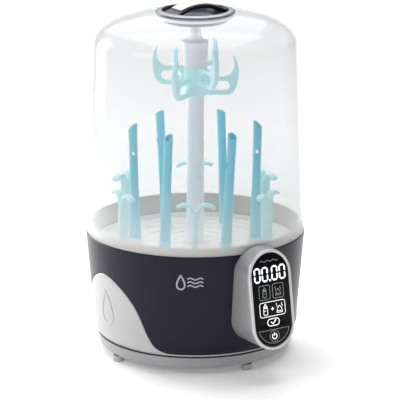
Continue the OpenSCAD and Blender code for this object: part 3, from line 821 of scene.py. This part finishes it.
def digit_zero(x, y, w, h, t):
    """A seven-segment zero: six bars with pointed ends and small gaps."""
    gap = 0.45
    bars = []

    def bar(x0, y0, x1, y1):
        a, b = Vector((x0, y0)), Vector((x1, y1))
        d = (b - a).normalized()
        n = Vector((-d.y, d.x)) * t / 2
        a, b = a + d * gap, b - d * gap
        tip = d * t / 2
        bars.append([tuple(p) for p in (a, a + tip + n, b - tip + n, b, b - tip - n, a + tip - n)])

    left, right, top, low = x - w / 2 + t / 2, x + w / 2 - t / 2, y + h / 2 - t / 2, y - h / 2 + t / 2
    bar(left, top, right, top)
    bar(left, low, right, low)
    for side in (left, right):
        bar(side, y, side, top)
        bar(side, low, side, y)
    return bars


def bottle_icon(x, y, h):
    """Outline of a baby bottle: body, collar and teat."""
    w = h * 0.42
    body = round_box(w, h * 0.62, h * 0.08, x, y - h * 0.17)
    collar = round_box(w * 1.05, h * 0.12, h * 0.04, x, y + h * 0.24)
    teat = cubic([(x - w * 0.38, y + h * 0.33), (x - w * 0.1, y + h * 0.36), (x - w * 0.2, y + h * 0.52),
                  (x, y + h * 0.52)], 8)
    teat += [(2 * x - px, py) for px, py in teat[-2::-1]]
    level = ribbon([(x - w * 0.3, y - h * 0.1), (x + w * 0.05, y - h * 0.1)], 0.35)
    return band(body, 0.7) + [collar, ribbon(teat, 0.35), level]


def teat_icon(x, y, h):
    """Outline of a teat over its ring, with two rising wisps of steam."""
    ring = round_box(h * 0.62, h * 0.14, h * 0.06, x, y - h * 0.34)
    dome = cubic([(x - h * 0.26, y - h * 0.24), (x - h * 0.24, y + h * 0.1), (x - h * 0.05, y),
                  (x - h * 0.06, y + h * 0.2)], 10)
    dome += [(2 * x - px, py) for px, py in dome[::-1]]
    wisps = [ribbon([(x + s * h * 0.28 + 0.5 * math.sin(k * 0.9), y + h * (0.08 + 0.05 * k))
                     for k in range(8)], 0.3) for s in (-1, 1)]
    return band(ring, 0.7) + [ribbon(dome, 0.35)] + wisps


def display():
    lift = 0.12
    digits = []
    for x in (-17.3, -6.9, 6.3, 16.7):
        digits += digit_zero(x, 29.9, 9.0, 17.2, 2.0)
    digits.append(round_box(2.3, 2.3, 0.5, -0.3, 22.4))
    lit = panel_plate("time_digits", digits, WINDOW_TOP + lift, 0.16)
    finish_piece(lit, "base", "black_gloss", "glow_bright")
    line = panel_plate("window_top_line", [moved(ribbon(wave(24, 0.8, 3), 0.3), 0, 44.6)], WINDOW_TOP
                       + lift, 0.16)
    finish_piece(line, "base", "black_gloss", "glow_dim")
    small = band(round_box(14.6, 16.4, 2.4, -9.2, 9.3), 0.6) + band(round_box(14.6, 16.4, 2.4, 9.2, 9.3), 0.6)
    small += bottle_icon(-9.2, 9.3, 11.5) + teat_icon(9.2, 9.0, 11.5)
    dim = panel_plate("mode_icons", small, WINDOW_TOP + lift, 0.16)
    finish_piece(dim, "base", "black_gloss", "glow_dim")
    plus = [ribbon([(-1.6, -10.3), (1.6, -10.3)], 0.45), ribbon([(0, -12.0), (0, -10.9)], 0.45),
            ribbon([(0, -9.7), (0, -8.6)], 0.45)]
    large = band(round_box(34.6, 16.6, 2.8, 0, -10.3),
                 0.7) + bottle_icon(-9.6, -10.3, 12.5) + teat_icon(9.6, -10.6, 12.5) + plus
    bright = panel_plate("combined_icon", large, WINDOW_TOP + lift, 0.16)
    finish_piece(bright, "base", "black_gloss", "glow_bright")
    rim = band(moved(round_box(OK_W - 1.2, OK_H - 1.2, 3.6), 0, OK_Y), 0.9)
    tick = [ribbon([(-3.2, OK_Y + 0.2), (-1.0, OK_Y - 2.0), (3.4, OK_Y + 2.3)], 0.65)]
    ok = panel_plate("ok_key_mark", rim + tick, WINDOW_TOP + lift, 0.16)
    finish_piece(ok, "ok_key", "black_gloss", "glow_bright")
    edge = band(power_outline(-0.5), 0.55)
    power_edge = panel_plate("power_key_line", edge, WINDOW_TOP + lift, 0.16)
    finish_piece(power_edge, "power_key", "black_gloss", "glow_dim")
    circle = band(arc(0, POWER_ICON_Y, 6.4, 0, 360, 40)[:-1], 0.5)
    power_ring = panel_plate("power_ring", circle, WINDOW_TOP + lift, 0.16)
    finish_piece(power_ring, "power_key", "black_gloss", "glow_dim")
    symbol = [ribbon(arc(0, POWER_ICON_Y - 0.3, 3.1, 128, 412, 24), 0.5),
              ribbon([(0, POWER_ICON_Y + 0.6), (0, POWER_ICON_Y + 3.6)], 0.5)]
    power = panel_plate("power_symbol", symbol, WINDOW_TOP + lift, 0.16)
    finish_piece(power, "power_key", "black_gloss", "glow_bright")


# ---- back ----

def back_hatch():
    mid = (bottom_of("filter_cover") + top_of("filter_cover")) / 2
    loops = [round_box(62, 35.6, 4, 0, mid)]
    loops += [round_box(46, 2.4, 1.19, 0, mid + (i - 2) * 5) for i in range(5)]
    cover = plate("filter_grille", loops, 1.7, 0.4)
    finish_piece(bend_round(cover, 180, 0.3), "filter_hatch", "dark_shell", replaces=["filter_cover"])


# ---- dome and handle ----

def dome():
    side = [(SEAM_R - 0.6, SEAM_Z + 0.3), (118.6, 360)]
    straight = [(side[0][0] + (side[1][0] - side[0][0]) * k / 12, side[0][1]
                 + (side[1][1] - side[0][1]) * k / 12) for k in range(12)]
    shoulder = cubic([side[1], (118.1, 374), (111, CROWN_Z - 16.2), (84, CROWN_Z - 8.2)], 28)
    crown = cubic([shoulder[-1], (72, CROWN_Z - 4.6), (60, CROWN_Z - 1.8), (CUP_R + 1, CROWN_Z + 0.2)], 10)
    outer = straight + shoulder + crown[1:]
    shell = revolve("clear_dome_skin", outer + beside(outer, WALL)[::-1], 192)
    finish_piece(shell, "lid", "clear_dome", replaces=["dome"])


def handle():
    floor_z = CROWN_Z - 11.2
    inner = [(0.01, floor_z), (22, floor_z)] + cubic([(26, floor_z), (34, floor_z),
                                                      (CUP_R - 2, floor_z + 5),
                                                      (CUP_R - 1.2, CROWN_Z + 1.6)], 14)
    outer = [(RING_R - 2.4, CROWN_Z + 1.6), (RING_R - 2.4, CROWN_Z + 0.6), (CUP_R + 0.6, CROWN_Z + 0.6),
             (CUP_R + 0.4, CROWN_Z - 4)]
    under = cubic([(CUP_R, floor_z + 3), (36, floor_z - 1.8), (28, floor_z - 1.8), (24, floor_z - 1.8)],
                  8) + [(0.01, floor_z - 1.8)]
    finish_piece(revolve("handle_recess", inner + outer + under, 128), "lid", "dark_shell", "recess_blue",
                 ["handle_cup"])
    ring = [(RING_R - 2.2, CROWN_Z + 0.35)] + cubic([(RING_R, CROWN_Z + 0.1), (RING_R - 0.6, CROWN_Z + 1.2),
                                                     (RING_R - 2.6, CROWN_Z + 2.4),
                                              (CUP_R - 1.2, CROWN_Z + 2.2)], 12)
    ring += [(CUP_R - 1.2, CROWN_Z + 1.65), (RING_R - 2.2, CROWN_Z + 1.65)]
    finish_piece(revolve("handle_trim", ring, 144), "lid", "silver_plastic", "ring_silver", ["handle_ring"])

    half = cubic([(-37.0, CROWN_Z - 1.0), (-26, CROWN_Z - 0.5), (-20, CREST_Z - 3.5), (0, CREST_Z - 3.5)],
                 24)
    line = half + [(-x, z) for x, z in half[-2::-1]]

    def loft(name, part, t, width, top):
        """A rounded bar along the handle's line; width(x) is half its width, top is its lift."""
        rows = []
        for (x, z), n in zip(part, normals(part, False)):
            w = width(x)
            section = rounded([(-w, -t / 2), (w, -t / 2), (w, t / 2), (-w, t / 2)], t * 0.42, 4)
            rows.append([(x + n[0] * (h + top), y, z + n[1] * (h + top)) for y, h in section])
        obj = grid_mesh(name, rows, False, True)
        return mend(obj, fill=True)

    def arch_width(x):
        flare = max(0.0, (abs(x) - 16) / 24)
        return min(12.6 + 4.0 * flare ** 2, math.sqrt(max(38.0 ** 2 - x * x, 40)))

    arch = loft("carry_arch", line, 4.2, arch_width, 0)
    finish_piece(arch, "lid", "dark_shell", replaces=["handle_arch"])
    pad = [p for p in line if abs(p[0]) < 25.5]
    grip = loft("grip_pad", pad, 1.5, lambda x: 11.2 - 1.5 * (abs(x) / 26) ** 4, 2.1 + 0.7)
    finish_piece(grip, "lid", "cream_plastic", replaces=["handle_grip"])


# ---- rack ----

def tray():
    outline = [(9, TRAY_Z - 4.2), (9, TRAY_Z + 2), (15, TRAY_Z + 2), (15.6, TRAY_Z - 1.2)]
    for i in range(5):
        r = 26 + 18 * i
        outline += rounded([(r - 0.4, TRAY_Z - 1.2), (r, TRAY_Z - 0.2), (r + 2, TRAY_Z - 0.2),
                            (r + 2.4, TRAY_Z - 1.2)], 0.5, 3)
    wall = [(TRAY_R - 2.6, TRAY_Z - 1.2), (TRAY_R - 2.4, TRAY_Z + 3), (TRAY_R, TRAY_Z + 3),
            (TRAY_R, TRAY_Z - 4.2)]
    outline += rounded(wall, 0.9, 4, only=[0, 1, 2])
    outline += [(16, TRAY_Z - 4.2), (16, TRAY_Z - 16), (14, TRAY_Z - 16), (14, TRAY_Z - 4.2)]
    plate_obj = revolve("drain_tray_disc", outline, 168)
    cutters = []
    for i in range(24):
        m = Matrix.Rotation(math.radians(7.5 + 15 * i), 4, "Z") @ Matrix.Translation((85, 0, TRAY_Z - 10))
        cutters.append(rod_cutter(2.0, 20, m, 16))
    cut(plate_obj, cutters)
    pads = []
    for i in range(6):
        for r, a, size, top in ((ROD_RING_R, 0, 8.6, SEAT_Z), (POST_RING_R, 30, 7.4, TRAY_Z - 0.2)):
            edge = [(size, TRAY_Z - 1.4), (size - 0.2, top - 0.9), (size - 0.9, top)]
            seat = revolve("seat", [(0.01, TRAY_Z - 1.4)] + edge + [(0.01, top)], 40)
            pads.append(shift(seat, around(RACK_TURN + a + 60 * i, r)))
    finish_piece(join("drain_tray_visual", [plate_obj] + pads), "rack", "white_plastic", "tray_plastic",
                 ["drain_tray"])


def bottle_rods():
    height = ROD_TIP_Z - SEAT_Z
    hole_z = height - ROD_HOLE_DROP
    outer = [(7.2, -2), (6.7, 5), (6.1, 20), (5.6, 40), (5.2, 62), (5.0, 84), (5.1, 110), (5.4, height + 8)]
    outline = outer + [(r - 1.3, z) for r, z in outer[::-1]]
    for i in range(1, 7):
        tube = revolve(f"hollow_rod_{i}", outline, 40)
        lean = Matrix.Rotation(math.atan(ROD_SPREAD / height), 4,
                               "Y") @ Matrix.Rotation(-math.atan(ROD_LEAN / height), 4, "X")
        shift(tube, lean)
        bm = bmesh.new()
        bm.from_mesh(tube.data)
        slant = Matrix.Rotation(math.radians(38), 4, "Y").to_3x3()
        planes = [((0, 0, 0), (0, 0, -1)), ((ROD_SPREAD * MM, ROD_LEAN * MM, (height - 3) * MM),
                                            slant @ Vector((0, 0, 1)))]
        for place, normal in planes:
            geom = bm.verts[:] + bm.edges[:] + bm.faces[:]
            bmesh.ops.bisect_plane(bm, geom=geom, plane_co=place, plane_no=normal, clear_outer=True,
                                   dist=1e-7)
            open_edges = [e for e in bm.edges
                          if e.is_boundary and all(abs((v.co - Vector(place)).dot(normal)) < 1e-5
                                                   for v in e.verts)]
            bmesh.ops.bridge_loops(bm, edges=open_edges)
        bm.to_mesh(tube.data)
        bm.free()
        mend(tube)
        slot = plate("cutter", [stadium(*ROD_SLOT)], 60)
        cut(tube, [shift(slot, Matrix.Translation((ROD_SPREAD * hole_z / height, 30, hole_z)) @ UPRIGHT)])
        shift(tube, around(RACK_TURN + 60 * (i - 1), ROD_RING_R, SEAT_Z))
        finish_piece(tube, "rack", "blue_plastic", replaces=[f"bottle_rod_{i}"])


def teat_posts():
    half, low, top = 3.3, TRAY_Z - 0.2, POST_TIP_Z
    stem = [(-half - 0.8, low), (half + 0.8, low), (half, low + 10), (half - 0.2, top - 22), (0, top - 8),
            (0.2 - half, top - 22), (-half, low + 10)]
    parts = [shift(plate("stem", [stem], 11, 1.6), Matrix.Translation((0, 5.5, 0)) @ UPRIGHT)]
    for side in (1, -1):
        line = cubic([(1.6, top - 20), (2.5, top - 2), (12, top + 0.5), (21.6, top - 6.5)], 16)
        arm = plate("arm", [ribbon([(side * x, z) for x, z in line], 2.2 * side, 1.8 * side)], 9, 1.3)
        parts.append(shift(arm, Matrix.Translation((0, 4.5, 0)) @ UPRIGHT))
    first = fuse(join("forked_post", parts), 0.65)
    for i in range(1, 7):
        post = link(f"forked_post_{i}", first.data.copy())
        shift(post, around(RACK_TURN + 30 + 60 * (i - 1), POST_RING_R)
              @ Matrix.Rotation(math.radians(90), 4, "Z"))
        finish_piece(post, "rack", "mint_plastic", replaces=[f"teat_post_{i}"])
    bpy.data.objects.remove(first)


def column():
    outer = [(10.25, TRAY_Z + 2), (10.25, 240),
             (10.25, 314)] + cubic([(10.25, 316), (10.6, 320), (12.0, 321), (12.8, 327)], 6)
    outer += [(HEAD_R - 0.3, COLUMN_TOP - 1), (HEAD_R - 0.9, COLUMN_TOP)]
    inner = [(HEAD_R - 2, COLUMN_TOP), (11, 327), (8.4, 317), (8.4, TRAY_Z + 2)]
    tube = revolve("air_column", outer + inner, 96)
    cutters = []
    for z, r, count, first in ((203, 1.25, 6, 0), (207, 1.25, 6, 30), (248, 1.25, 6, 0), (252, 1.25, 6, 30),
                               (335, 1.2, 6, 10), (350, 1.2, 6, 40)):
        for i in range(count):
            m = (Matrix.Translation((0, 0, z))
                 @ Matrix.Rotation(math.radians(first + 60 * i), 4, "Z")
                 @ Matrix.Rotation(math.radians(90), 4, "Y"))
            cutters.append(rod_cutter(r, 30, m, 12))
    cut(tube, cutters)
    finish_piece(tube, "rack", "column_plastic", replaces=["column"])
    z = COLUMN_TOP
    cap = [(0.01, z + 1.5), (9, z + 0.8), (HEAD_R - 0.3, z + 0.02), (HEAD_R - 0.3, z + 1.3),
           (11.4, z + 2.4)]
    cap += cubic([(9.4, z + 3.2), (7.4, z + 7), (6.8, z + 11), (5.6, z + 16)],
                 8) + cubic([(5.2, z + 17.6), (4.4, z + 19.8), (2.4, z + 20.5), (0.01, CAP_TOP)], 6)
    finish_piece(revolve("column_cone", cap, 72), "rack", "clear_cap", replaces=["column_cap"])
    # The core inside the clear cap takes pale_plastic, whose glow is painted light.
    core = [(0.01, z + 1.6), (4.4, z + 1.6), (3.4, z + 10), (1.8, z + 16.5), (0.01, z + 17.4)]
    finish_piece(revolve("column_cone_core", core, 32), "rack", "column_plastic", "pale_plastic")


def hooks():
    """Two tiers of three horns; each horn is a flat crescent with a loop at its foot."""
    tip = HOOK_TIP
    foot, top = tip - 46.8, tip - 25
    outline = [(10, foot)] + cubic([(36, foot), (46, foot), (49.5, foot + 11), (50.2, foot + 26)], 14)
    outline += cubic([(50.2, foot + 26), (50.5, foot + 33), (47.8, foot + 41), (44.2, tip)], 10)[1:]
    outline += cubic([(42.9, tip), (47, foot + 35), (43.5, foot + 23), (34, top)], 16) + [(10, top)]
    loop = round_box(22.7, 10.4, 4.6, 27.9, (foot + top) / 2)
    for name, turn, drop, ring in (("upper", RACK_TURN, 0, (foot + 1, top)),
                                   ("lower", RACK_TURN + 60, HOOK_DROP, (foot - HOOK_DROP, foot + 0.4))):
        parts = [revolve("ring", rounded([(10.4, ring[0]), (13.7, ring[0]), (13.7, ring[1]),
                                          (10.4, ring[1])], 1.2), 64)]
        for i in range(3):
            horn = plate("horn", [outline, loop], 6.6, 1.5)
            shift(horn, Matrix.Translation((0, 3.3, 0)) @ UPRIGHT)
            shift(horn, around(turn + 120 * i) @ Matrix.Translation((0, 0, -drop)))
            parts.append(horn)
        tier = fuse(join(f"{name}_tier", parts), 0.6, 5)
        bm = bmesh.new()
        bm.from_mesh(tier.data)
        inside = [v for v in bm.verts if math.hypot(v.co.x, v.co.y) < 10.0 * MM]
        bmesh.ops.delete(bm, geom=inside, context="VERTS")
        bm.to_mesh(tier.data)
        bm.free()
        finish_piece(mend(tier, fill=False), "rack", "mint_plastic", "hook_plastic", [f"{name}_hooks"])
        smooth(tier, 80)


# ---- pieces whose CAD shape is right ----

def finish_cad_nodes():
    for entry in frame["record"]["subparts"]:
        obj = NODES[entry["node"]]
        obj.data.materials.clear()
        # The lock ring takes pale_plastic, whose glow is painted light.
        look = "pale_plastic" if entry["node"] == "lock_ring" else entry["material_slot"]
        obj.data.materials.append(MATERIALS[look])


make_stage()
finish_cad_nodes()
base_shell()
lower_casing()
wing_gap_width()
base_pan()
feet()
collar()
marks()
pod_housing()
pod_bezel()
window_and_keys()
display()
back_hatch()
dome()
handle()
tray()
bottle_rods()
teat_posts()
column()
hooks()
